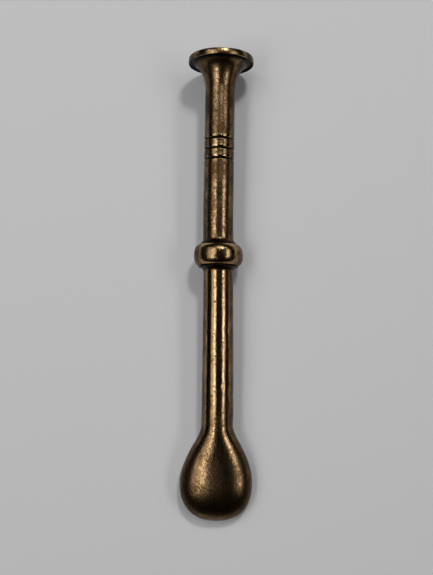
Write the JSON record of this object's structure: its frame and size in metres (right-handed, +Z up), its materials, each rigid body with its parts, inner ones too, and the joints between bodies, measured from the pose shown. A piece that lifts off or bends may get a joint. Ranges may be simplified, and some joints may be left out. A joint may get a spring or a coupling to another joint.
{
  "type": "tamping tool",
  "caption": "Small aged-brass hand tool: flat tamping disc on a grooved round shank, a rounded knop, and a lower shank ending in a domed teardrop scoop.",
  "frame": {"origin": "middle of the part's box in X and Y, on the surface that the tool lies on", "axes": "+Y along the tool towards the tamping disc, +Z up, +X across the scoop; the tool's own axis rises 2.45 degrees towards +Y because the disc is deeper than the scoop"},
  "size_m": [0.0164, 0.106, 0.0152],
  "materials": {
    "tamper_brass": "aged, worn bright on the high places, brown patina in the grooves",
    "knop_brass": "aged, polished by handling, fine pits",
    "scoop_brass": "aged, satin dome with brown patina",
    "stud_brass": "as turned, hidden"
  },
  "bodies": {
    "root": {"tamper_shank": "tamper_brass", "knop": "knop_brass", "scoop_shank": "scoop_brass", "joining_stud": "stud_brass"}
  },
  "joints": []
}
